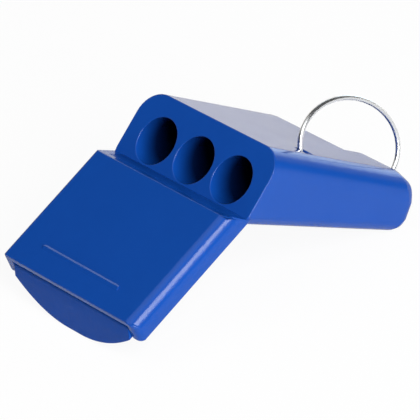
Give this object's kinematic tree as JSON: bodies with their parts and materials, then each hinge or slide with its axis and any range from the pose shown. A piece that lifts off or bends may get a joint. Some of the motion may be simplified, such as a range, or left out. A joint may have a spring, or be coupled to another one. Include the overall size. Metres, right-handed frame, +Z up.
{
  "type": "pealess whistle",
  "caption": "Flat-mouthed pealess sports whistle with a tilted mouthpiece arm, a block of round blowing chambers and a swinging wire bail for a lanyard.",
  "frame": {"origin": "centre of the bounding box at the level of the surface the whistle stands on", "axes": "+X to the side with the bail, +Y from the mouthpiece to the bail end, +Z up"},
  "size_m": [0.031, 0.0614, 0.0237],
  "materials": {
    "body_plastic": "glossy moulded blue",
    "lip_plastic": "satin moulded blue",
    "wire": "bright drawn wire"
  },
  "bodies": {
    "whistle": {"whistle_body": "body_plastic", "windway_block": "lip_plastic"},
    "bail": {"lanyard_bail": "wire"}
  },
  "joints": [
    {"name": "bail_swing", "type": "hinge", "parent": "whistle", "child": "bail", "pos_m": [0.0101, 0.01833, 0.01214], "axis": [0, 0.8585, -0.5129], "range_deg": [0, 48.5]}
  ]
}
